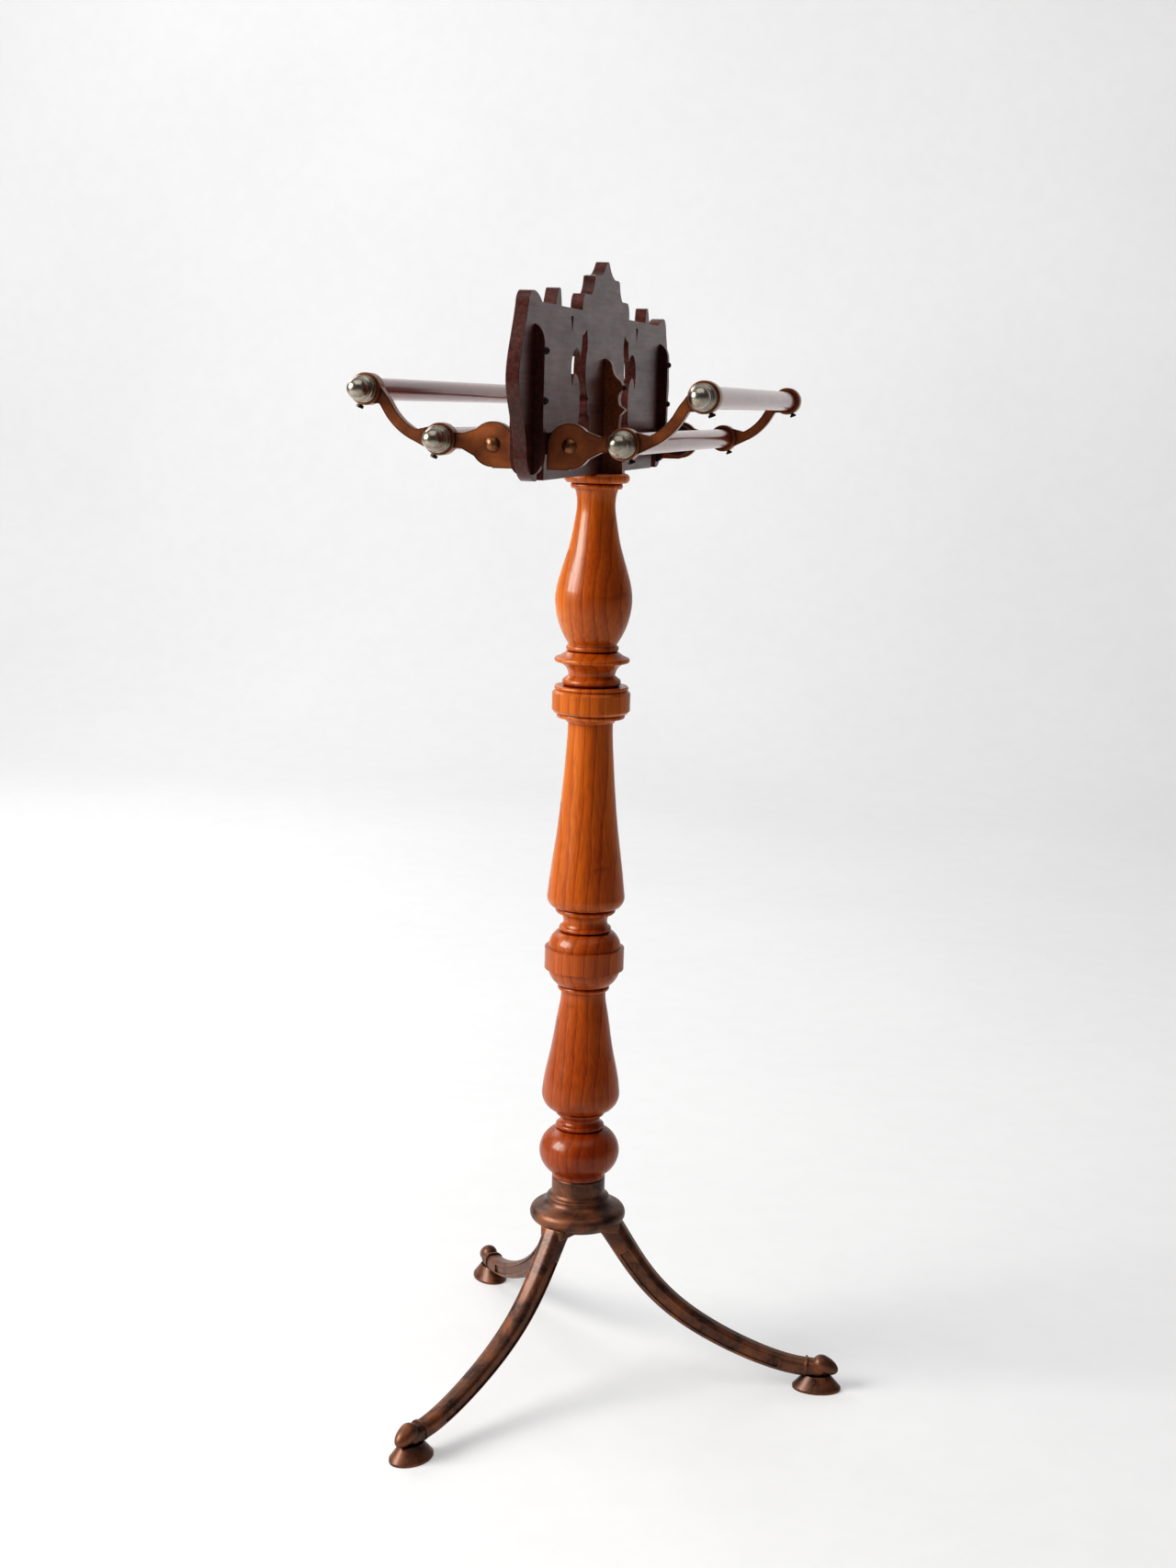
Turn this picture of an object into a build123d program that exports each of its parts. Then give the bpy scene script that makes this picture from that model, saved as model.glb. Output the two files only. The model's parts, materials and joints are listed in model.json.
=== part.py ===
from build123d import *
import os
from math import cos, radians, sin

# Floor-standing folding rack for sheet music or papers: a turned wooden pillar on a
# cast tripod, a long fretwork board on top and a hinged wing of two rods on each side.
# Millimetres. Origin: pillar axis at floor level. +Z up, the board runs along Y,
# the wings open towards -X (left) and +X (right).

# ---- driving dimensions -------------------------------------------------------------
pillar_top = 671.0          # top of the collar, where the board stands
socket_mouth = 154.0        # top of the cast socket that holds the pillar
hub_base = 118.4            # underside of the tripod hub
tenon_radius = 15.5         # turned tenon inside the socket
tenon_floor = 124.0

leg_heading = 5.6           # turn of the tripod against the rack, degrees
leg_count = 3
foot_reach = 183.0          # pillar axis to the middle of a foot pad
pad_length, pad_width = 36.0, 26.0

board_thick = 8.3
board_mid_height = 144.4    # middle finial above the board's bottom edge
board_end_height = 114.5
board_belly = 237.0         # pillar axis to the rounded end of the board
mortise_half, mortise_deep = 11.0, 16.0

arm_plane = 186.0           # distance of each arm's middle plane from the pillar axis
arm_thick = 7.0
pivot_x = 24.4              # wing pivots, to each side of the board's middle plane
pivot_z = pillar_top + 21.8
plate_radius = 14.0
heel_depth = 14.6
inner_eye = (34.1, 2.2)     # rod centres measured from the pivot, outwards and up
outer_eye = (82.8, 31.8)
eye_radius = 10.1
eye_length = 11.0
rod_radius = 7.1
rod_overhang = 5.5          # rod beyond the outer face of the eye, inside its cap

bolt_radius = 3.0
pivot_clearance = 0.08      # radial running clearance of an arm on its bolt
slip = 0.05                 # radial slack of fixed round joints
washer_thick = 1.0
face_gap = 0.1              # arm face to washer and to bolt head
pivot_board_thick = 9.0

arm_outer_face = arm_plane + arm_thick / 2
arm_inner_face = arm_plane - arm_thick / 2
eye_face = arm_plane + eye_length / 2
pivot_board_face = arm_inner_face - face_gap - washer_thick
pivot_board_back = pivot_board_face - pivot_board_thick
half_board = board_thick / 2


# ---- helpers ------------------------------------------------------------------------
class Turning:
    """Half outline of a turned piece in (radius, height), drawn from the top down."""

    def __init__(self, radius, height):
        self.first = (radius, height)
        self.at = self.first
        self.edges = []

    def line(self, radius, height):
        self.edges.append(Line(self._point(self.at), self._point((radius, height))))
        self.at = (radius, height)
        return self

    def bulge(self, radius, height, amount):
        """Arc to a point, standing out by amount at its middle; a negative one is a cove."""
        middle = ((self.at[0] + radius) / 2 + amount, (self.at[1] + height) / 2)
        ends = self._point(self.at), self._point((radius, height))
        self.edges.append(ThreePointArc(ends[0], self._point(middle), ends[1]))
        self.at = (radius, height)
        return self

    def flow(self, *points):
        """Smooth curve through the given points."""
        track = [self._point(p) for p in (self.at, *points)]
        self.edges.append(Spline(*track))
        self.at = points[-1]
        return self

    def solid(self):
        axis_low = (0, self.at[1])
        axis_high = (0, self.first[1])
        self.line(*axis_low)
        self.line(*axis_high)
        self.line(*self.first)
        return revolve(Face(Wire(self.edges)), Axis.Z)

    @staticmethod
    def _point(spot):
        return (spot[0], 0, spot[1])


def rod_between(radius, start, end):
    """Round bar between two points."""
    direction = Vector(*end) - Vector(*start)
    plane = Plane(origin=start, z_dir=direction)
    return extrude(plane * Circle(radius), direction.length)


def both_ways(shape):
    """The piece and its mirror image in the plane Y = 0, as separate solids."""
    return [shape, mirror(shape, Plane.XZ)]


def save(node, *solids):
    """Write one node; several solids stay separate pieces."""
    pieces = []
    for shape in solids:
        pieces.extend(shape.solids())
    shape = pieces[0] if len(pieces) == 1 else Compound(children=pieces)
    export_step(shape, f"parts/{node}.step")


# ---- pillar -------------------------------------------------------------------------
def make_pillar():
    """Baluster pillar, turned from one length, with a mortise for the board on top."""
    outline = Turning(20.8, pillar_top)
    outline.bulge(20.8, 664.4, 2.4)
    outline.line(17.4, 664.4).bulge(17.4, 660.2, 1.1)
    outline.line(15.4, 660.2).flow((13.6, 649.0), (15.1, 637.0), (17.6, 623.2), (23.3, 603.8),
                                   (27.4, 584.4), (24.5, 565.0), (17.6, 551.0))
    outline.line(17.4, 550.0).bulge(17.4, 545.6, 1.5)
    outline.line(18.6, 545.2).bulge(26.1, 541.0, -0.8)
    outline.bulge(26.1, 537.8, 0.9)
    outline.line(24.3, 537.4).bulge(16.7, 528.4, -2.4)
    outline.line(19.2, 526.4).bulge(19.2, 520.8, 1.8)
    outline.line(25.8, 520.8).bulge(25.8, 518.0, 0.8)
    outline.line(26.6, 517.4).line(28.1, 515.6).line(28.1, 503.4)
    outline.line(26.2, 501.2).line(24.0, 501.0).bulge(24.0, 497.8, 0.7)
    outline.line(21.0, 497.4).bulge(17.4, 494.6, -1.0)
    outline.line(16.2, 494.2).flow((16.2, 490.0), (16.9, 475.0), (18.6, 452.0),
                                   (21.8, 418.3), (26.3, 384.3), (28.1, 368.5))
    outline.bulge(25.0, 359.6, 1.4)
    outline.line(20.6, 358.8).bulge(20.6, 354.4, 1.4)
    outline.line(18.4, 354.0).bulge(17.0, 345.0, -1.6)
    outline.bulge(17.2, 341.0, 1.9)
    outline.line(20.4, 340.4).bulge(26.4, 329.0, 1.7)
    outline.line(29.0, 328.6).line(29.0, 313.0)
    outline.line(26.4, 312.6).bulge(19.2, 300.8, 1.7)
    outline.line(17.5, 300.4).bulge(17.5, 296.5, 1.4)
    outline.line(16.4, 296.0).flow((16.5, 290.0), (18.1, 280.7), (22.9, 251.3),
                                   (27.5, 229.0), (28.6, 219.6))
    outline.bulge(22.4, 206.4, 2.2)
    outline.line(16.8, 205.6).bulge(16.8, 201.4, 1.4)
    outline.bulge(16.4, 195.2, -1.9)
    outline.bulge(16.6, 191.2, 1.4)
    outline.line(18.2, 190.8).flow((25.9, 184.8), (29.6, 174.2), (26.6, 163.6), (20.4, 157.4))
    outline.line(19.8, 157.0).line(19.8, socket_mouth + 0.1)
    outline.line(tenon_radius, socket_mouth + 0.1).line(tenon_radius, tenon_floor)
    pillar = outline.solid()

    mortise = Pos(0, 0, pillar_top - mortise_deep / 2) * Box(
        board_thick + 2 * slip, 2 * (mortise_half + slip), mortise_deep + 0.1)
    pilot = Pos(0, 0, tenon_floor) * Cylinder(
        lag_radius + slip, 2 * lag_depth, align=(Align.CENTER, Align.CENTER, Align.CENTER))
    return pillar - mortise - pilot


# ---- tripod hub and its bolt --------------------------------------------------------
lag_radius = 4.0
lag_depth = 62.0            # length of the lag bolt inside the tenon
hub_boss_radius = 30.5
rim_underside = 120.8
leg_screw_circle = 20.5
leg_screw_radius = 2.4
leg_screw_length = 14.2
tongue_base = 112.4         # underside of the tongue that screws a leg to the hub


def leg_angles():
    return [leg_heading + 360.0 / leg_count * i for i in range(leg_count)]


def make_tripod_hub():
    """Cast socket with a moulded flange; the legs screw to its underside."""
    outline = Turning(18.6, socket_mouth)
    outline.bulge(19.7, 152.6, 0.35)
    outline.line(19.7, 142.2).bulge(22.2, 139.2, -0.7)
    outline.bulge(23.0, 137.2, 0.5)
    outline.flow((25.4, 133.6), (30.0, 131.6), (33.4, 130.0))
    outline.bulge(33.4, rim_underside, 2.1)
    outline.line(hub_boss_radius, rim_underside).line(hub_boss_radius, hub_base)
    hub = outline.solid()

    socket = Pos(0, 0, tenon_floor) * Cylinder(
        tenon_radius + slip, socket_mouth, align=(Align.CENTER, Align.CENTER, Align.MIN))
    hub -= socket
    hub -= Pos(0, 0, hub_base) * Cylinder(lag_radius + 0.3, 30)
    screw_depth = tongue_base + leg_screw_length + 0.2 - hub_base
    for angle in leg_angles():
        spot = Rot(0, 0, angle) * Pos(leg_screw_circle, 0, hub_base)
        hub -= spot * Cylinder(leg_screw_radius + slip, 2 * screw_depth)
    return hub


def make_pillar_bolt():
    """Lag bolt up through the hub into the pillar's end grain."""
    head_top = hub_base - 1.5
    shank = Pos(0, 0, head_top) * Cylinder(
        lag_radius, tenon_floor + lag_depth - head_top - 2,
        align=(Align.CENTER, Align.CENTER, Align.MIN))
    head = extrude(Plane.XY.offset(head_top - 5) * RegularPolygon(7.5, 6), 5)
    return shank + chamfer(head.faces().sort_by(Axis.Z)[0].edges(), 0.8)


def make_pillar_washer():
    ring = Circle(9.5) - Circle(lag_radius + 0.3)
    return extrude(Plane.XY.offset(hub_base - 1.5) * ring, 1.5)


# ---- legs ---------------------------------------------------------------------------
leg_spine = Spline((17.5, 0, 125.7), (28, 0, 111), (64, 0, 65.8), (107, 0, 37.2),
                   (150, 0, 20.7), (183, 0, 16.4), tangents=((0.58, 0, -0.81), (1, 0, -0.06)))
leg_top_size = (17.5, 18.5)     # width across, depth in the leg's own plane
leg_toe_size = (13.0, 12.4)
waist_height = 11.0
toe_radius = 6.7
toe_reach = 13.4                # from the toe's heart to its tip
toe_heart = (186.0, 0, 19.4)
toe_lean = (0.92, 0, -0.39)
toe_under = 11.2                # flat underside, a little above the pad


def leg_section(share, grow=0.0):
    """Plane square to the leg at a share of its length, with its width and depth there."""
    plane = Plane(origin=leg_spine @ share, x_dir=(0, 1, 0), z_dir=leg_spine % share)
    ease = share ** 0.7
    width = leg_top_size[0] + (leg_toe_size[0] - leg_top_size[0]) * ease + grow
    depth = leg_top_size[1] + (leg_toe_size[1] - leg_top_size[1]) * ease + grow
    return plane, width, depth


def leg_beam():
    """Tapering curved limb with softened corners."""
    sections = []
    for share in (0.0, 0.2, 0.4, 0.6, 0.8, 1.0):
        plane, width, depth = leg_section(share)
        sections.append(plane * RectangleRounded(width, depth, width * 0.36))
    return loft(sections)


def leg_panel(side):
    """Long sunk panel in one side of the limb."""
    sections = []
    for share in (0.16, 0.3, 0.45, 0.6, 0.75, 0.86):
        plane, width, depth = leg_section(share)
        sections.append(plane * Pos(side * width / 2, 0) * Rectangle(2.4, depth * 0.46))
    return loft(sections)


def leg_hoof():
    """Rounded toe leaning outwards, full at the ankle and blunt at the tip, flat underneath."""
    front = Pos(toe_reach / 2, toe_radius / 2) * Rectangle(toe_reach, toe_radius)
    back = Pos(0, toe_radius / 2) * Rectangle(2 * toe_radius, toe_radius)
    profile = (Ellipse(toe_reach, toe_radius) & front) + (Circle(toe_radius) & back)
    lean = Plane(origin=toe_heart, x_dir=toe_lean, z_dir=(0, -1, 0))
    under = Pos(foot_reach, 0, toe_under) * Box(
        80, 40, 20, align=(Align.CENTER, Align.CENTER, Align.MAX))
    return lean * revolve(profile, Axis.X) - under


def leg_foot():
    """Oval pad with a waist, ankle and fetlock ring, all cast with the leg."""
    sole = Plane.XY * Pos(foot_reach, 0) * Ellipse(pad_length / 2, pad_width / 2)
    rim = Plane.XY.offset(1.8) * Pos(foot_reach, 0) * Ellipse(pad_length / 2, pad_width / 2)
    waist = Plane.XY.offset(waist_height) * Pos(foot_reach, 0) * Ellipse(9.8, 7.2)
    foot = extrude(sole, 1.8) + loft([rim, waist])
    foot += Pos(foot_reach, 0, waist_height + 5.0) * Sphere(7.0)
    plane, width, depth = leg_section(0.955, grow=1.6)
    return foot + extrude(plane * RectangleRounded(width, depth, width * 0.4), 1.6)


def leg_shoulder():
    """Squared head of the leg under the rim, and the tongue that takes the screw."""
    tongue = Pos(18, 0, (tongue_base + hub_base) / 2) * Box(14, 16, hub_base - tongue_base)
    head = Pos(27.2, 0, 117.0) * Box(10.6, 19.6, 6.8)
    return tongue + fillet(head.edges().filter_by(Axis.Z).sort_by(Axis.X)[-2:], 2.0)


def make_leg():
    leg = leg_beam() - leg_panel(1) - leg_panel(-1)
    leg += leg_shoulder()
    leg += leg_foot()
    leg += leg_hoof()
    upright = (Align.CENTER, Align.CENTER, Align.MIN)
    hub_room = Pos(0, 0, hub_base) * Cylinder(hub_boss_radius, 60, align=upright)
    rim_room = Pos(0, 0, rim_underside) * Cylinder(60, 40, align=upright)
    below_floor = Pos(foot_reach, 0, -10) * Box(80, 60, 20)
    screw_room = Pos(leg_screw_circle, 0, tongue_base - 20) * Cylinder(5.0, 20, align=upright)
    leg = leg - hub_room - rim_room - below_floor - screw_room
    return leg - Pos(leg_screw_circle, 0, 0) * make_leg_screw(slip)


def make_leg_screw(grow=0.0):
    """Countersunk screw, pointing up, on the axis at the origin."""
    head = Pos(0, 0, tongue_base) * Cone(
        4.8 + grow, leg_screw_radius + grow, 2.6, align=(Align.CENTER, Align.CENTER, Align.MIN))
    shank = Pos(0, 0, tongue_base) * Cylinder(
        leg_screw_radius + grow, leg_screw_length,
        align=(Align.CENTER, Align.CENTER, Align.MIN))
    return head + shank


# ---- fretwork board -----------------------------------------------------------------
def raised(*spots):
    """Points of the board's plane, from (distance along, height above its bottom edge)."""
    return [(0, along, pillar_top + up) for along, up in spots]


def board_outline():
    """One half of the board's edge, from the middle of the bottom round to the top."""
    top, brow = board_end_height, board_end_height - 5.9
    return [
        Line(*raised((0, 0), (191, 0))),
        ThreePointArc(*raised((191, 0), (206, 4), (214.5, 14))),
        Spline(*raised((214.5, 14), (222, 34), (board_belly, 62), (229, 84), (218, 104.8))),
        ThreePointArc(*raised((218, 104.8), (214, 112), (208, top))),
        Line(*raised((208, top), (202, top))),
        ThreePointArc(*raised((202, top), (193, 112.7), (184, brow))),
        Line(*raised((184, brow), (150, brow))),
        ThreePointArc(*raised((150, brow), (146.5, 114), (143.5, 118.6))),
        ThreePointArc(*raised((143.5, 118.6), (140, 119.6), (136.5, 118.6))),
        ThreePointArc(*raised((136.5, 118.6), (134.8, 113.8), (133.5, brow))),
        Line(*raised((133.5, brow), (75, brow))),
        ThreePointArc(*raised((75, brow), (73.5, 115.8), (68, 119.8))),
        Line(*raised((68, 119.8), (50, 119.8))),
        ThreePointArc(*raised((50, 119.8), (43, 125), (39.5, 132.8))),
        Line(*raised((39.5, 132.8), (33, 133.8))),
        ThreePointArc(*raised((33, 133.8), (14, 136.4), (4.4, 143.0))),
        ThreePointArc(*raised((4.4, 143.0), (2.6, 144.1), (0, board_mid_height))),
        Line(*raised((0, board_mid_height), (0, 0))),
    ]


def fret_outline():
    """Pierced ornament of one half: a tall slot, a pointed top and a leaf beside it."""
    return [
        ThreePointArc(*raised((58, 84), (58.6, 91), (61, 97))),
        ThreePointArc(*raised((61, 97), (68, 93.6), (74, 92.4))),
        ThreePointArc(*raised((74, 92.4), (75, 85), (79, 78.5))),
        ThreePointArc(*raised((79, 78.5), (85, 83), (91, 83.6))),
        ThreePointArc(*raised((91, 83.6), (99.5, 79.5), (103, 72))),
        ThreePointArc(*raised((103, 72), (102.8, 65), (100, 58.5))),
        ThreePointArc(*raised((100, 58.5), (97, 64.5), (92, 67))),
        ThreePointArc(*raised((92, 67), (82, 63), (77.8, 53))),
        ThreePointArc(*raised((77.8, 53), (78.2, 42), (81, 33))),
        ThreePointArc(*raised((81, 33), (68, 25), (52, 27))),
        ThreePointArc(*raised((52, 27), (48.4, 33), (50, 40))),
        ThreePointArc(*raised((50, 40), (55.8, 44.5), (52.5, 51))),
        ThreePointArc(*raised((52.5, 51), (62, 66), (58, 84))),
    ]


def piercing():
    """Small three-cornered nick between the ornament and the top edge."""
    return Face(Wire([
        Line(*raised((101, 104), (107, 103))),
        Line(*raised((107, 103), (103, 93))),
        Line(*raised((103, 93), (101, 104))),
    ]))


def make_fret_board():
    along_x = (1, 0, 0)
    half = extrude(Face(Wire(board_outline())), half_board, dir=along_x, both=True)
    half -= extrude(Face(Wire(fret_outline())), board_thick, dir=along_x, both=True)
    for side in (half_board, -half_board):
        half -= Pos(side, 0, 0) * extrude(piercing(), 1.0, dir=along_x, both=True)
    board = half + mirror(half, Plane.XZ)
    tenon = Pos(0, 0, pillar_top - mortise_deep / 2) * Box(
        board_thick, 2 * mortise_half, mortise_deep - 0.4)
    board += Pos(0, 0, 0.2) * tenon
    for way in (1, -1):
        middle = way * (pivot_board_back + arm_outer_face) / 2
        board -= Pos(0, middle, pillar_top) * Box(
            20, arm_outer_face - pivot_board_back + 2 * slip, 2 * (halving_z - pillar_top))
    for screw in strip_screw_solids(slip) + bracket_screw_solids(slip):
        board -= screw
    return board


# ---- cross boards that carry the pivots ---------------------------------------------
bar_bottom = pillar_top + 16.5
bar_top = pillar_top + 30.0
halving_z = (bar_bottom + bar_top) / 2
lobe_radius = 11.8
stop_half = pivot_x - plate_radius - 0.3    # heels of the arms stop against this shoulder


def make_pivot_board():
    """Cross board halved over the fretwork board, with a lobe behind each pivot."""
    bar = Pos(0, pivot_board_back, bar_bottom) * Box(
        2 * pivot_x, pivot_board_thick, bar_top - bar_bottom,
        align=(Align.CENTER, Align.MIN, Align.MIN))
    for side in (1, -1):
        centre = (side * pivot_x, pivot_board_back, pivot_z)
        bar += rod_between(lobe_radius, centre, (centre[0], pivot_board_face, pivot_z))
    shoulder = Pos(0, pivot_board_back, bar_bottom) * Box(
        2 * stop_half, arm_outer_face - pivot_board_back, bar_top - bar_bottom,
        align=(Align.CENTER, Align.MIN, Align.MIN))
    bar += shoulder
    notch = Pos(0, arm_plane, bar_top) * Box(
        board_thick + 2 * slip, 60, 2 * (bar_top - halving_z))
    bar -= notch
    for side in (1, -1):
        start = (side * pivot_x, pivot_board_back - 1, pivot_z)
        bar -= rod_between(bolt_radius + slip, start, (start[0], pivot_board_face + 1, pivot_z))
    return bar


# ---- end strips and middle brackets -------------------------------------------------
strip_middle = 198.0
strip_thick = 7.0
strip_reach = 6.4           # how far a strip stands out from the board
strip_low, strip_high = 4.0, 95.0
strip_screw_heights = (79.0, 49.0)
bracket_thick = 9.0
bracket_screw_height = 59.0


def make_end_strip():
    """Slim sawn strip on the right face near the far end, pointed at the top."""
    face, out = half_board, half_board + strip_reach
    low, high = pillar_top + strip_low, pillar_top + strip_high
    outline = Face(Wire([
        Line((face, 0, low), (face, 0, high)),
        Spline((face, 0, high), (out, 0, high - 13), tangents=((1, 0, -0.4), (0, 0, -1))),
        Line((out, 0, high - 13), (out, 0, low + 16)),
        Spline((out, 0, low + 16), (face, 0, low), tangents=((0, 0, -1), (-1, 0, -0.3))),
    ]))
    strip = Pos(0, strip_middle - strip_thick / 2, 0) * extrude(
        outline, strip_thick, dir=(0, 1, 0))
    for height in strip_screw_heights:
        strip -= wood_screw(out, strip_middle, pillar_top + height, slip)
    return strip


def bracket_outline():
    """Moulded edge of the middle bracket, in (distance from the board, height)."""
    x, z = half_board, pillar_top

    def at(out, up):
        return (x + out, 0, z + up)

    return [
        Line(at(0, 0), at(0, 79)),
        ThreePointArc(at(0, 79), at(3.2, 77.6), at(5.6, 73)),
        ThreePointArc(at(5.6, 73), at(7.6, 67.6), at(10.6, 64.6)),
        ThreePointArc(at(10.6, 64.6), at(13.0, 60.2), at(11.0, 55.6)),
        ThreePointArc(at(11.0, 55.6), at(10.3, 51), at(11.4, 47)),
        Line(at(11.4, 47), at(15.4, 44.4)),
        Line(at(15.4, 44.4), at(11.8, 40.6)),
        ThreePointArc(at(11.8, 40.6), at(11.2, 24), at(14.4, 8)),
        Line(at(14.4, 8), at(14.8, 0)),
        Line(at(14.8, 0), at(0, 0)),
    ]


def make_centre_bracket():
    plate = Pos(0, -bracket_thick / 2, 0) * extrude(
        Face(Wire(bracket_outline())), bracket_thick, dir=(0, 1, 0))
    return plate - wood_screw(half_board + 13.0, 0, pillar_top + bracket_screw_height, slip)


def wood_screw(head_x, y, z, grow=0.0):
    """Round-head screw driven in towards the board, its head resting at head_x."""
    shank_end = 1.2
    shank = rod_between(1.2 + grow, (shank_end - grow, y, z), (head_x + 0.2, y, z))
    if grow:
        return shank
    ball = Pos(head_x, y, z) * Sphere(2.3)
    outer = Pos(head_x, y, z) * Box(4, 6, 6, align=(Align.MIN, Align.CENTER, Align.CENTER))
    slot = Pos(head_x + 2.3, y, z) * Box(1.4, 0.7, 6)
    return shank + (ball & outer) - slot


def strip_screw_solids(grow=0.0):
    solids = []
    for height in strip_screw_heights:
        screw = wood_screw(half_board + strip_reach, strip_middle, pillar_top + height, grow)
        for one in both_ways(screw):
            solids.extend([one, mirror(one, Plane.YZ)])
    return solids


def bracket_screw_solids(grow=0.0):
    screw = wood_screw(half_board + 13.0, 0, pillar_top + bracket_screw_height, grow)
    return [screw, mirror(screw, Plane.YZ)]


# ---- wings --------------------------------------------------------------------------
neck_half = 4.8
swan_half = 3.5
set_screw_tilt = 23.0       # set screws lean outwards from straight down


def wing_point(spot, y=0.0):
    """Point of the right wing from (out, up) measured from its pivot."""
    return (pivot_x + spot[0], y, pivot_z + spot[1])


def flat(shape, start, thick):
    """Sketch drawn in (out, up) from the right pivot, set upright and given thickness."""
    plane = Plane(origin=(pivot_x, start, pivot_z), x_dir=(1, 0, 0), z_dir=(0, -1, 0))
    return extrude(plane * shape, -thick)


def taper(start, start_radius, end, end_radius):
    """Two discs of different size with straight sides between them."""
    discs = Pos(*start) * Circle(start_radius), Pos(*end) * Circle(end_radius)
    return make_hull(discs[0].edges() + discs[1].edges())


def make_arm():
    """Far arm of the right wing: pivot plate with a square heel, and two rod eyes."""
    heel = Pos(-plate_radius / 2, -heel_depth / 2) * Rectangle(plate_radius, heel_depth)
    neck = Spline((9, 0.6), (20, 1.6), inner_eye, tangents=((1, 0), (1, 0.1)))
    swan = Spline(inner_eye, (50, 4.0), (67, 18.6), outer_eye, tangents=((1, -0.2), (1, 0.2)))
    outline = heel + Circle(plate_radius) + taper((6.5, 0.5), 9.6, (18.5, 1.4), neck_half)
    outline += trace(neck, 2 * neck_half) + trace(swan, 2 * swan_half)
    for eye, share in ((inner_eye, 0.27), (outer_eye, 0.80)):
        along = swan @ share
        outline += taper(eye, eye_radius - 1.2, (along.X, along.Y), swan_half)
    arm = flat(outline, arm_inner_face, arm_thick)
    for eye in (inner_eye, outer_eye):
        collar = flat(Pos(*eye) * Circle(eye_radius), arm_plane - eye_length / 2, eye_length)
        arm += fillet(collar.edges(), 0.9)
    for eye in (inner_eye, outer_eye):
        arm -= flat(Pos(*eye) * Circle(rod_radius + slip), arm_plane - eye_length, 2 * eye_length)
        arm -= set_screw(eye, slip)
    return arm - flat(Circle(bolt_radius + pivot_clearance), arm_plane - 10, 20)


def make_rod(eye):
    half = eye_face + rod_overhang
    bar = rod_between(rod_radius, wing_point(eye, -half), wing_point(eye, half))
    return chamfer(bar.edges(), 0.6)


def make_cap(eye):
    """Domed end cap beyond the far arm, hollow where it sits over the rod's end."""
    outline = Turning(0.8, 20.6)
    outline.flow((4.0, 19.2), (6.1, 16.2), (6.7, 13.0), (6.4, 10.9))
    outline.line(6.8, 10.7).bulge(6.8, 9.3, 0.3)
    outline.line(6.5, 9.1).bulge(7.8, 7.2, -0.4)
    outline.bulge(7.8, 4.0, 0.5)
    outline.line(7.6, 3.7).line(7.6, 3.1)
    outline.line(8.2, 2.8).bulge(8.2, 0.1, 0.4)
    cap = outline.solid()
    cap -= Cylinder(rod_radius + slip, rod_overhang + 0.2,
                    align=(Align.CENTER, Align.CENTER, Align.MIN))
    return Pos(*wing_point(eye, eye_face)) * Rot(-90, 0, 0) * cap


def set_screw(eye, grow=0.0):
    """Small screw up through the underside of the far arm's eye, against the rod."""
    centre = Vector(*wing_point(eye, arm_plane))
    lean = radians(set_screw_tilt)
    way = Vector(sin(lean), 0, -cos(lean))
    outside = centre + way * (eye_radius + 1.2)
    if grow:
        return rod_between(1.3 + grow, centre + way * (rod_radius - 1), outside)
    shank = rod_between(1.3, centre + way * (rod_radius + slip), outside)
    return shank + rod_between(2.3, centre + way * (eye_radius + 0.9),
                               centre + way * (eye_radius + 2.5))


def make_pivot_bolt():
    """Domed pivot bolt of the right far arm."""
    x, z = pivot_x, pivot_z
    head_face = arm_outer_face + face_gap
    shank = rod_between(bolt_radius, (x, pivot_board_back - 4.4, z), (x, head_face + 0.2, z))
    ball_radius = 5.4
    ball = Pos(x, head_face - 2.6, z) * Sphere(ball_radius)
    outer = Pos(x, head_face, z) * Box(12, 6, 12, align=(Align.CENTER, Align.MIN, Align.CENTER))
    return shank + (ball & outer)


def make_pivot_washer():
    ring = Circle(6.5) - Circle(bolt_radius + slip)
    return flat(ring, pivot_board_face, washer_thick)


def make_pivot_nut():
    nut = RegularPolygon(4.6, 6) - Circle(bolt_radius + slip)
    return flat(nut, pivot_board_back - 3.2, 3.2)


def four_ways(shape):
    """The right far piece with its copies at the other three pivots."""
    solids = []
    for one in both_ways(shape):
        solids.extend([one, mirror(one, Plane.YZ)])
    return solids


# ---- writing the nodes --------------------------------------------------------------
os.makedirs("parts", exist_ok=True)

save("pillar", make_pillar())
save("tripod_hub", make_tripod_hub())
save("pillar_bolt", make_pillar_bolt())
save("pillar_washer", make_pillar_washer())
one_leg = make_leg()
for name, angle in zip(("leg_right", "leg_back", "leg_front"), leg_angles()):
    save(name, Rot(0, 0, angle) * one_leg)
save("leg_screws", *[Rot(0, 0, angle) * Pos(leg_screw_circle, 0, 0) * make_leg_screw()
                     for angle in leg_angles()])

save("fret_board", make_fret_board())
back_board = make_pivot_board()
save("pivot_board_back", back_board)
save("pivot_board_front", mirror(back_board, Plane.XZ))
strip = make_end_strip()
bracket = make_centre_bracket()
for side, turn in (("right", False), ("left", True)):
    for end, shape in zip(("back", "front"), both_ways(strip)):
        save(f"end_strip_{side}_{end}", mirror(shape, Plane.YZ) if turn else shape)
    save(f"centre_bracket_{side}", mirror(bracket, Plane.YZ) if turn else bracket)
save("strip_screws", *strip_screw_solids())
save("bracket_screws", *bracket_screw_solids())
save("pivot_bolts", *four_ways(make_pivot_bolt()))
save("pivot_washers", *four_ways(make_pivot_washer()))
save("pivot_nuts", *four_ways(make_pivot_nut()))

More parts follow.
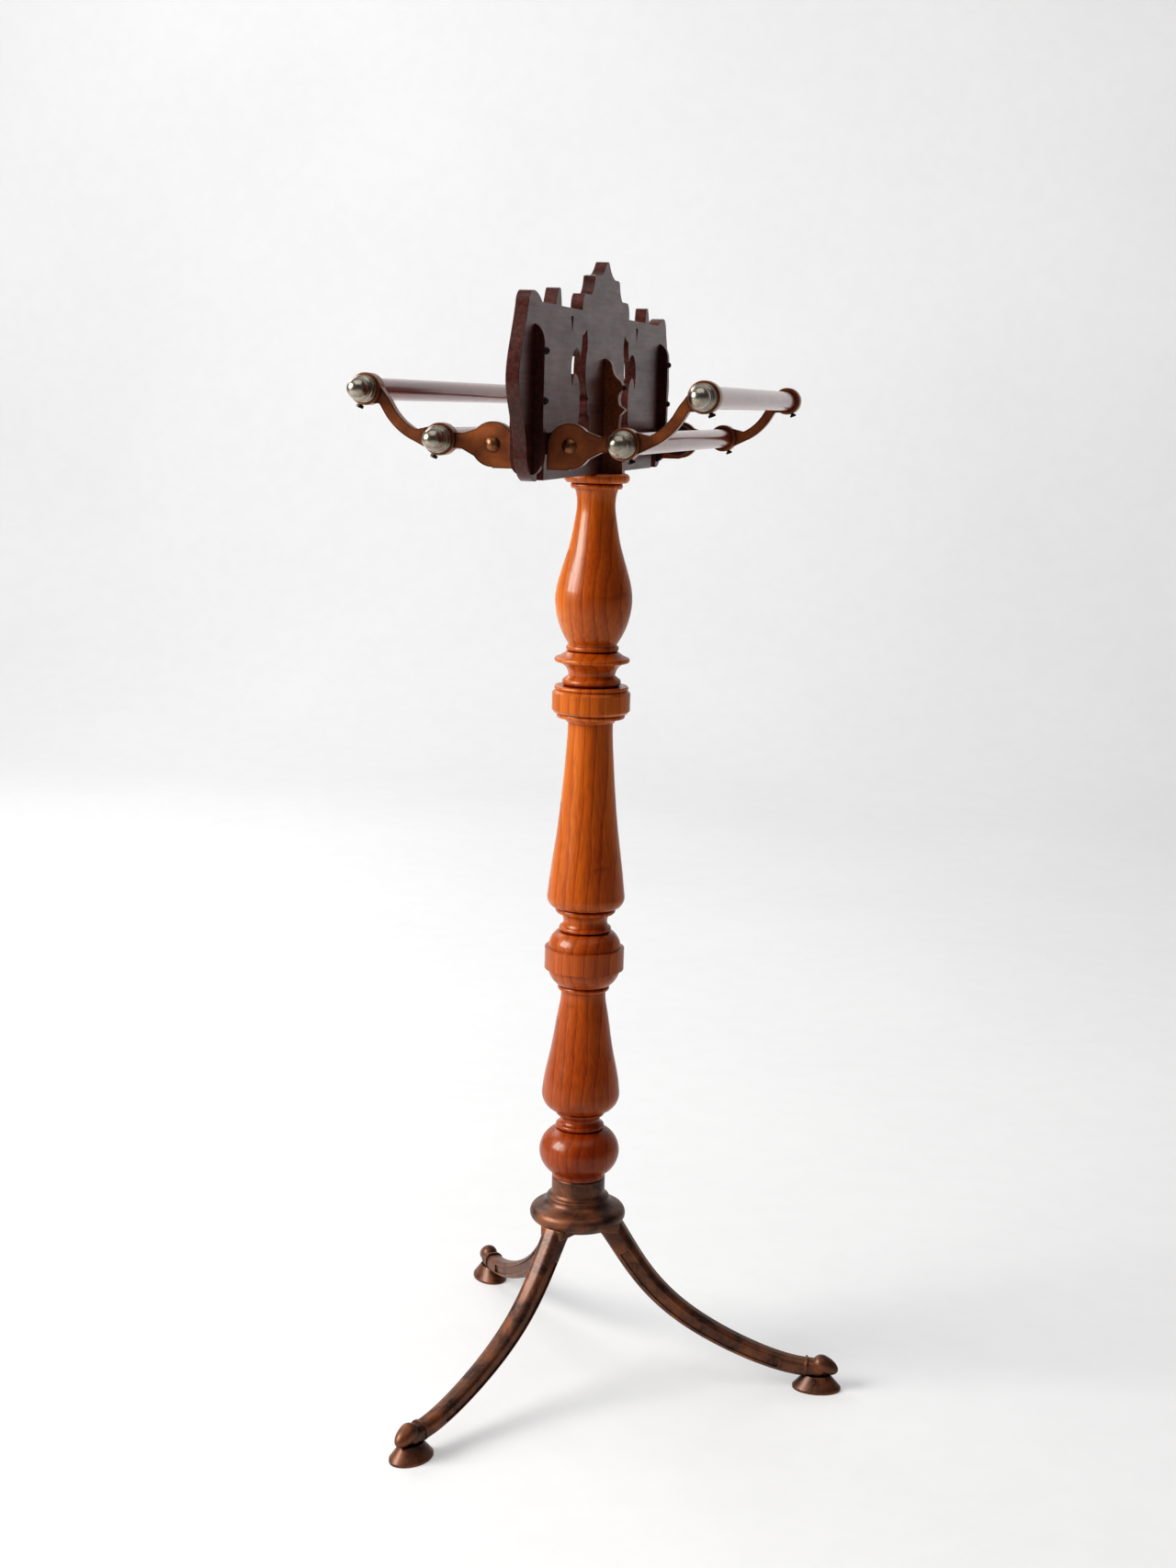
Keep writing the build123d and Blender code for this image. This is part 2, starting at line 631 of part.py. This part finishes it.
arm = make_arm()
for side, turn in (("right", False), ("left", True)):
    for end, shape in zip(("back", "front"), both_ways(arm)):
        save(f"{side}_arm_{end}", mirror(shape, Plane.YZ) if turn else shape)
    screws = []
    for place, eye in (("inner", inner_eye), ("outer", outer_eye)):
        rod = make_rod(eye)
        save(f"{side}_{place}_rod", mirror(rod, Plane.YZ) if turn else rod)
        for end, shape in zip(("back", "front"), both_ways(make_cap(eye))):
            save(f"{side}_{place}_cap_{end}", mirror(shape, Plane.YZ) if turn else shape)
        screws.extend(both_ways(set_screw(eye)))
    save(f"{side}_set_screws", *[mirror(s, Plane.YZ) if turn else s for s in screws])
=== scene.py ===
import json
from math import cos, radians, sin

import bpy
from mathutils import Matrix, Vector

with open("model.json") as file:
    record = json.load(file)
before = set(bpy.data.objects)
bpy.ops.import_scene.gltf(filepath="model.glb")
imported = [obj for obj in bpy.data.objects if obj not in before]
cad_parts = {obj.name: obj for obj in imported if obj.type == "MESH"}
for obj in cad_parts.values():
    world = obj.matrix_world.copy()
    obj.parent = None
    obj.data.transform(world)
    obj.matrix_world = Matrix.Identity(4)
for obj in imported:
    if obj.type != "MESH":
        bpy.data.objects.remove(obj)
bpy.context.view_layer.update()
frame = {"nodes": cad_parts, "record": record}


# ---- camera, floor and light ----------------------------------------------------------
VIEW_AZIMUTH = radians(12.63)   # from looking along +Y, turned towards -X
VIEW_PITCH = radians(10.06)     # downwards
VIEW_ROLL = radians(1.52)       # the real stand leans by this much
VIEW_DISTANCE = 1.527           # camera to pillar axis, measured level
VIEW_HEIGHT = 0.720
VIEW_ASIDE = 0.0006             # camera this far to the left of the line to the axis
VIEW_LENS = 49.41
SENSOR_WIDTH = 36
VIEW_REACH = 50                 # farthest distance drawn

FLOOR_FRONT, FLOOR_BACK, FLOOR_SIDE = -4.0, 3.2, 6.0
WALL_TOP, WALL_BEND = 4.5, 0.9
BEND_STEPS = 12

SKY_COLOUR, SKY_STRENGTH = (0.95, 0.97, 1.0, 1), 0.15
DAYLIGHT, NEUTRAL = (1.0, 0.985, 0.96), (1, 1, 1)

# name, place, what it faces, (width, height), watts, colour; a point is (left, ahead, up)
# from the pillar's foot, as the camera sees it
LIGHTS = (
    ("window", (2.05, -0.55, 1.45), (0, 0, 0.5), (1.1, 1.2), 70, DAYLIGHT),
    ("second_window", (1.75, -1.25, 1.35), (0, 0, 0.6), (0.35, 0.8), 7, DAYLIGHT),
    ("overhead", (-0.183, -0.554, 2.8), (-0.054, -0.217, 0), (2.6, 2.6), 24, NEUTRAL),
    ("back_left", (1.4, 1.6, 1.9), (0, 0, 0.5), (1.4, 1.0), 13, NEUTRAL),
    ("wall_wash", (1.7, 1.2, 2.4), (2.0, 3.4, 0.9), (2.6, 0.8), 42, NEUTRAL),
)

# Tone curve, darker at its foot: shadows deepen, as in a bright exposure.
TONE = ((0.02, 0.008), (0.06, 0.038), (0.20, 0.175), (0.55, 0.56))
GAMMA = 0.93


def seen_from_camera(left, ahead, up):
    """Point from (left, ahead, up) along the camera's level directions."""
    across, along = cos(VIEW_AZIMUTH), sin(VIEW_AZIMUTH)
    return Vector((-left * across - ahead * along, -left * along + ahead * across, up))


def add_camera():
    """Camera beyond one end of the board and a little below its top, rolled slightly."""
    look = seen_from_camera(0, cos(VIEW_PITCH), -sin(VIEW_PITCH))
    level_right = seen_from_camera(-1, 0, 0)
    level_up = level_right.cross(look)
    right = level_right * cos(VIEW_ROLL) + level_up * sin(VIEW_ROLL)
    up = right.cross(look)
    data = bpy.data.cameras.new("view")
    data.lens = VIEW_LENS
    data.sensor_width = SENSOR_WIDTH
    data.clip_end = VIEW_REACH
    camera = bpy.data.objects.new("view", data)
    bpy.context.scene.collection.objects.link(camera)
    turn = Matrix((right, up, -look)).transposed().to_4x4()
    place = seen_from_camera(VIEW_ASIDE, -VIEW_DISTANCE, VIEW_HEIGHT)
    camera.matrix_world = Matrix.Translation(place) @ turn
    bpy.context.scene.camera = camera


def area_light(name, place, target, size, watts, colour):
    """Rectangular soft light; place and target are (left, ahead, up)."""
    data = bpy.data.lights.new(name, "AREA")
    data.shape = "RECTANGLE"
    data.size, data.size_y = size
    data.energy = watts
    data.color = colour
    light = bpy.data.objects.new(name, data)
    light.location = seen_from_camera(*place)
    aim = seen_from_camera(*target) - light.location
    light.rotation_euler = aim.to_track_quat("-Z", "Y").to_euler()
    bpy.context.scene.collection.objects.link(light)


def add_stage():
    """Pale floor that curves up into a pale wall far behind."""
    profile = [(FLOOR_FRONT, 0.0)]
    for i in range(BEND_STEPS + 1):
        turn = radians(90 * i / BEND_STEPS)
        profile.append((FLOOR_BACK - WALL_BEND * (1 - sin(turn)), WALL_BEND * (1 - cos(turn))))
    profile.append((FLOOR_BACK, WALL_TOP))
    verts = [(x, y, z) for y, z in profile for x in (-FLOOR_SIDE, FLOOR_SIDE)]
    faces = [(2 * i, 2 * i + 1, 2 * i + 3, 2 * i + 2) for i in range(len(profile) - 1)]
    mesh = bpy.data.meshes.new("stage")
    mesh.from_pydata(verts, [], faces)
    for face in mesh.polygons:
        face.use_smooth = True
    stage = bpy.data.objects.new("stage", mesh)
    bpy.context.scene.collection.objects.link(stage)
    mesh.materials.append(stage_material())


def add_light():
    """Soft room light, with the windows on the camera's left."""
    world = bpy.data.worlds.new("room")
    world.use_nodes = True
    sky = world.node_tree.nodes["Background"]
    sky.inputs["Color"].default_value = SKY_COLOUR
    sky.inputs["Strength"].default_value = SKY_STRENGTH
    bpy.context.scene.world = world
    for light in LIGHTS:
        area_light(*light)


def set_tone():
    view = bpy.context.scene.view_settings
    view.view_transform = "Standard"
    view.look = "None"
    view.gamma = GAMMA
    view.use_curve_mapping = True
    combined = view.curve_mapping.curves[3]
    for light_in, light_out in TONE:
        combined.points.new(light_in, light_out)
    view.curve_mapping.update()


# ---- node helpers ---------------------------------------------------------------------
PROBE_RAYS = 6              # rays for each corner and edge test


class Shader:
    """Small builder for one material's node tree."""

    def __init__(self, name):
        self.material = bpy.data.materials.new(name)
        self.material.use_nodes = True
        self.tree = self.material.node_tree
        self.surface = self.tree.nodes["Principled BSDF"]

    def add(self, kind, **settings):
        """New node; each setting is one of its properties or the value of an input."""
        node = self.tree.nodes.new(kind)
        for key, value in settings.items():
            if hasattr(node, key):
                setattr(node, key, value)
            else:
                node.inputs[key.replace("_", " ")].default_value = value
        return node

    def link(self, source, target):
        self.tree.links.new(source, target)

    def set(self, **values):
        """Plain values for the surface's inputs."""
        for key, value in values.items():
            self.surface.inputs[key.replace("_", " ")].default_value = value

    def where(self, scale=(1, 1, 1), offset=(0, 0, 0), turn=(0, 0, 0)):
        """The object's own coordinates, moved, turned and scaled."""
        coords = self.add("ShaderNodeTexCoord")
        mapping = self.add("ShaderNodeMapping")
        mapping.inputs["Location"].default_value = offset
        mapping.inputs["Rotation"].default_value = turn
        mapping.inputs["Scale"].default_value = scale
        self.link(coords.outputs["Object"], mapping.inputs["Vector"])
        return mapping.outputs["Vector"]

    def noise(self, vector, scale, detail=3.0, roughness=0.55, distortion=0.0):
        node = self.add("ShaderNodeTexNoise", Scale=scale, Detail=detail,
                        Roughness=roughness, Distortion=distortion)
        self.link(vector, node.inputs["Vector"])
        return node.outputs["Fac"]

    def ramp(self, value, *stops):
        """Colour ramp; each stop is (position, colour) or (position, grey)."""
        node = self.add("ShaderNodeValToRGB")
        band = node.color_ramp
        while len(band.elements) < len(stops):
            band.elements.new(0.5)
        for element, (position, colour) in zip(band.elements, stops):
            element.position = position
            if isinstance(colour, (int, float)):
                colour = (colour,) * 3
            element.color = (*colour, 1)
        self.link(value, node.inputs["Fac"])
        return node.outputs["Color"]

    def mix(self, kind, share, first, second):
        """Blend the second colour over the first; each value is a socket or plain."""
        node = self.add("ShaderNodeMix", data_type="RGBA", blend_type=kind)
        for socket, value in ((node.inputs[0], share), (node.inputs[6], first),
                              (node.inputs[7], second)):
            if isinstance(value, bpy.types.NodeSocket):
                self.link(value, socket)
            elif isinstance(value, (int, float)):
                socket.default_value = value
            else:
                socket.default_value = (*value, 1)
        return node.outputs[2]

    def math(self, operation, first, second):
        node = self.add("ShaderNodeMath", operation=operation)
        for socket, value in zip(node.inputs, (first, second)):
            if isinstance(value, bpy.types.NodeSocket):
                self.link(value, socket)
            else:
                socket.default_value = value
        return node.outputs[0]

    def crevice(self, distance, low=0.35, high=0.95):
        """1 in the open, 0 deep in a groove or an inner corner."""
        node = self.add("ShaderNodeAmbientOcclusion", samples=PROBE_RAYS, only_local=True)
        node.inputs["Distance"].default_value = distance
        return self.ramp(node.outputs["AO"], (low, 0.0), (high, 1.0))

    def rounded(self, radius):
        """Normal of the surface with its edges rounded by this radius."""
        node = self.add("ShaderNodeBevel", samples=PROBE_RAYS, Radius=radius)
        return node.outputs["Normal"]

    def edge(self, radius, low=0.004, high=0.10):
        """1 on sharp outer and inner edges, 0 on flat and gently curved faces."""
        geometry = self.add("ShaderNodeNewGeometry")
        dot = self.add("ShaderNodeVectorMath", operation="DOT_PRODUCT")
        self.link(self.rounded(radius), dot.inputs[0])
        self.link(geometry.outputs["Normal"], dot.inputs[1])
        away = self.math("SUBTRACT", 1.0, dot.outputs["Value"])
        return self.ramp(away, (low, 0.0), (high, 1.0))

    def bump(self, height, strength, distance, soften=0.0):
        """Bump for the surface's normal, over a small rounding of sharp edges if asked."""
        node = self.add("ShaderNodeBump", Strength=strength, Distance=distance)
        self.link(height, node.inputs["Height"])
        if soften:
            self.link(self.rounded(soften), node.inputs["Normal"])
        self.link(node.outputs["Normal"], self.surface.inputs["Normal"])

    def colour(self, socket):
        self.link(socket, self.surface.inputs["Base Color"])

    def roughness(self, value, at_zero, at_one):
        """Roughness that goes from at_zero to at_one as value goes from 0 to 1."""
        node = self.add("ShaderNodeMapRange")
        node.inputs["To Min"].default_value = at_zero
        node.inputs["To Max"].default_value = at_one
        self.link(value, node.inputs["Value"])
        self.link(node.outputs["Result"], self.surface.inputs["Roughness"])


# ---- materials ------------------------------------------------------------------------
def stage_material():
    """Matt off-white, faintly stained, glowing a little so that its far parts stay pale."""
    shader = Shader("stage")
    cool_white, white = (0.60, 0.60, 0.605), (0.64, 0.64, 0.64)
    mottle = shader.noise(shader.where(), 1.3, 2)
    tone = shader.ramp(mottle, (0.3, cool_white), (0.7, white))
    stains = shader.ramp(shader.noise(shader.where(), 26, 6, 0.65), (0.40, 0.98), (0.60, 1.0))
    tone = shader.mix("MULTIPLY", 1.0, tone, stains)
    shader.colour(tone)
    shader.set(Roughness=0.9, Emission_Color=(1, 1, 1, 1), Emission_Strength=0.25)
    return shader.material


def turned_wood():
    """Orange-brown varnished wood, grain upright, growth rings cut into flames."""
    shader = Shader("turned_wood")
    honey, amber, russet = (0.55, 0.146, 0.009), (0.47, 0.112, 0.006), (0.38, 0.080, 0.004)
    rings_at = shader.where(scale=(1, 1, 0.10), offset=(0.030, 0.018, 0), turn=(0.05, 0.03, 0))
    wave = shader.add("ShaderNodeTexWave", wave_type="RINGS", rings_direction="Z",
                      wave_profile="SAW", Scale=40.0, Distortion=3.0, Detail=2.0,
                      Detail_Scale=3.0)
    shader.link(rings_at, wave.inputs["Vector"])
    tone = shader.ramp(wave.outputs["Fac"], (0.0, honey), (0.75, amber), (0.97, russet))

    broad = shader.noise(shader.where(scale=(1, 1, 0.35), offset=(3, 1, 0)), 16, 2)
    clouds = shader.ramp(broad, (0.30, (0.66, 0.52, 0.42)), (0.68, (1.14, 1.18, 1.1)))
    tone = shader.mix("MULTIPLY", 1.0, tone, clouds)

    height = shader.add("ShaderNodeSeparateXYZ")
    shader.link(shader.where(), height.inputs["Vector"])
    darker_to_foot = shader.ramp(height.outputs["Z"], (0.14, (0.66, 0.50, 0.55)),
                       (0.36, (0.88, 0.80, 0.9)), (0.58, (1.0, 1.0, 1.0)))
    tone = shader.mix("MULTIPLY", 1.0, tone, darker_to_foot)      # darker and redder towards the foot

    fibre = shader.noise(shader.where(scale=(1, 1, 0.035)), 750, 3, 0.6)
    streaks = shader.ramp(fibre, (0.36, 0.72), (0.62, 1.06))
    tone = shader.mix("MULTIPLY", 0.75, tone, streaks)

    # painted shade: the wood darkened in grooves and inner corners that the occlusion probe finds
    groove_shade = shader.mix("MULTIPLY", 0.85, tone, (0.42, 0.20, 0.12))
    tone = shader.mix("MIX", shader.crevice(0.006, 0.30, 0.85), groove_shade, tone)

    marks = shader.noise(shader.where(scale=(3, 3, 12), offset=(0, 4, 0)), 9, 4, 0.6)
    stained = shader.ramp(marks, (0.62, 0.0), (0.80, 0.55))
    shader.colour(shader.mix("MIX", stained, tone, (0.12, 0.035, 0.012)))

    smears = shader.noise(shader.where(scale=(1, 1, 0.3)), 90, 3)
    shader.roughness(smears, 0.34, 0.48)
    shader.set(Coat_Weight=0.34, Coat_Roughness=0.10, Coat_IOR=1.45, Specular_IOR_Level=0.34)
    lathe_lines = shader.noise(shader.where(scale=(0.05, 0.05, 1)), 900, 2)
    shader.bump(lathe_lines, 0.10, 0.0006)
    return shader.material


def dark_wood(name, deep, light):
    """Old polished wood: long grain along the board, hazy varnish, edges rubbed lighter."""
    shader = Shader(name)
    grain_at = shader.where(scale=(1, 0.045, 1), offset=(0.3, 0, 0.1))
    grain = shader.noise(grain_at, 420, 4, 0.62, 0.4)
    tone = shader.ramp(grain, (0.30, deep), (0.70, light))
    broad = shader.noise(shader.where(scale=(1, 0.4, 1)), 26, 3)
    tone = shader.mix("MULTIPLY", 0.8, tone, shader.ramp(broad, (0.3, 0.55), (0.7, 1.3)))
    rubbed = shader.math("MULTIPLY", shader.edge(0.0012), 0.45)
    shader.colour(shader.mix("MIX", rubbed, tone, (0.11, 0.040, 0.026)))
    haze = shader.noise(shader.where(scale=(1, 0.5, 2.2)), 60, 5, 0.65)
    shader.roughness(haze, 0.26, 0.52)
    shader.set(Coat_Weight=0.18, Coat_Roughness=0.25, Specular_IOR_Level=0.38)
    shader.bump(grain, 0.16, 0.0004, soften=0.0008)
    return shader.material


def rod_wood():
    """Red-brown dowel under thick glossy varnish, grain along the rod."""
    shader = Shader("rod_wood")
    deep, light = (0.13, 0.022, 0.014), (0.31, 0.068, 0.042)
    grain = shader.noise(shader.where(scale=(1, 0.03, 1)), 520, 4, 0.6)
    tone = shader.ramp(grain, (0.32, deep), (0.70, light))
    broad = shader.noise(shader.where(scale=(1, 0.25, 1), offset=(1, 0, 2)), 34, 2)
    shader.colour(shader.mix("MULTIPLY", 0.7, tone, shader.ramp(broad, (0.3, 0.6), (0.7, 1.25))))
    shader.roughness(shader.noise(shader.where(), 140, 3), 0.16, 0.30)
    shader.set(Coat_Weight=0.55, Coat_Roughness=0.12, Coat_IOR=1.5, Specular_IOR_Level=0.32)
    shader.bump(grain, 0.08, 0.0003)
    return shader.material


def bronzed_iron():
    """Cast iron with dark brown lacquer, rubbed through to copper bronze; painted shade in its
    grooves and inner corners.
    """
    shader = Shader("bronzed_iron")
    black_brown, brown, copper = (0.044, 0.021, 0.015), (0.135, 0.060, 0.036), (0.235, 0.090, 0.040)
    blotch = shader.noise(shader.where(offset=(0, 0, 2)), 58, 6, 0.62, 0.5)
    tone = shader.ramp(blotch, (0.34, black_brown), (0.52, brown), (0.66, copper))
    speckle = shader.noise(shader.where(offset=(2, 0, 0)), 420, 3, 0.6)
    spots = shader.math("MULTIPLY", shader.ramp(speckle, (0.56, 0.0), (0.66, 0.8)), 0.6)
    tone = shader.mix("MIX", spots, tone, (0.21, 0.084, 0.040))
    worn_edge = shader.math("MULTIPLY", shader.edge(0.0022, 0.01, 0.12),
                            shader.ramp(blotch, (0.38, 0.15), (0.6, 1.0)))
    tone = shader.mix("MIX", shader.math("MULTIPLY", worn_edge, 0.75), tone, (0.36, 0.155, 0.075))
    # painted shade: near-black in grooves and inner corners that the occlusion probe finds
    shader.colour(shader.mix("MIX", shader.crevice(0.008, 0.3, 0.9), (0.014, 0.010, 0.009), tone))
    shader.set(Metallic=0.55, Specular_IOR_Level=0.5, Coat_Weight=0.22, Coat_Roughness=0.25)
    shader.roughness(blotch, 0.34, 0.62)
    skin = shader.noise(shader.where(), 700, 4, 0.7)
    shader.bump(skin, 0.22, 0.0005, soften=0.0009)
    return shader.material


def bronzed_arm():
    """Smooth castings with a satin orange-brown bronze lacquer, with painted shade at the rims and
    in the corners.
    """
    shader = Shader("bronzed_arm")
    deep, light = (0.15, 0.046, 0.016), (0.33, 0.112, 0.036)
    blotch = shader.noise(shader.where(offset=(1, 0, 0)), 70, 4, 0.6)
    tone = shader.ramp(blotch, (0.32, deep), (0.68, light))
    # painted shade: the rims darkened as rounded edges turned from the light would be
    rim_shade = shader.math("MULTIPLY", shader.edge(0.0024, 0.01, 0.12), 0.8)
    tone = shader.mix("MIX", rim_shade, tone, (0.042, 0.018, 0.012))
    # painted shade: near-black in corners and around the eyes that the occlusion probe finds
    shader.colour(shader.mix("MIX", shader.crevice(0.005, 0.3, 0.9), (0.030, 0.012, 0.008), tone))
    shader.set(Metallic=0.2, Coat_Weight=0.35, Coat_Roughness=0.2, Specular_IOR_Level=0.45)
    shader.roughness(shader.noise(shader.where(), 260, 4, 0.65), 0.30, 0.50)
    shader.bump(shader.noise(shader.where(), 520, 3, 0.6), 0.10, 0.0004, soften=0.0008)
    return shader.material


def nickel():
    """Nickel plate gone warm and dull in the grooves."""
    shader = Shader("nickel")
    dull, bright = (0.26, 0.225, 0.175), (0.47, 0.43, 0.37)
    stain = shader.noise(shader.where(), 190, 5, 0.65)
    tone = shader.ramp(stain, (0.34, dull), (0.66, bright))
    shader.colour(shader.mix("MIX", shader.crevice(0.003, 0.35, 0.95), (0.075, 0.055, 0.038), tone))
    shader.set(Metallic=1.0)
    shader.roughness(stain, 0.40, 0.20)
    shader.bump(shader.noise(shader.where(), 900, 3), 0.08, 0.0003, soften=0.0003)
    return shader.material


def plain_metal(name, dark, light, metallic, rough):
    """Small fixings: one tone pair, mottled, with painted shade in the corners."""
    shader = Shader(name)
    mottle = shader.noise(shader.where(), 420, 4, 0.6)
    tone = shader.ramp(mottle, (0.35, dark), (0.65, light))
    # painted shade: near-black in corners that the occlusion probe finds
    shader.colour(shader.mix("MIX", shader.crevice(0.002), (0.015, 0.011, 0.009), tone))
    shader.set(Metallic=metallic)
    shader.roughness(mottle, rough, rough + 0.18)
    shader.bump(mottle, 0.12, 0.0002, soften=0.0003)
    return shader.material


def dress(slots):
    """Give every CAD node the material of its slot."""
    slot_of = {part["node"]: part["material_slot"] for part in frame["record"]["subparts"]}
    for name, piece in frame["nodes"].items():
        piece.data.materials.clear()
        piece.data.materials.append(slots[slot_of[name]])


add_camera()
add_stage()
add_light()
set_tone()
dress({
    "turned_wood": turned_wood(),
    "dark_wood": dark_wood("dark_wood", (0.034, 0.009, 0.006), (0.120, 0.032, 0.023)),
    "bracket_wood": dark_wood("bracket_wood", (0.10, 0.034, 0.014), (0.24, 0.085, 0.030)),
    "rod_wood": rod_wood(),
    "bronzed_iron": bronzed_iron(),
    "bronzed_arm": bronzed_arm(),
    "nickel": nickel(),
    "dark_screw": plain_metal("dark_screw", (0.02, 0.016, 0.015), (0.07, 0.055, 0.05), 0.7, 0.35),
    "bolt_steel": plain_metal("bolt_steel", (0.20, 0.18, 0.16), (0.42, 0.40, 0.37), 1.0, 0.35),
    "bolt_bronze": plain_metal("bolt_bronze", (0.13, 0.06, 0.03), (0.30, 0.15, 0.08), 0.8, 0.3),
})
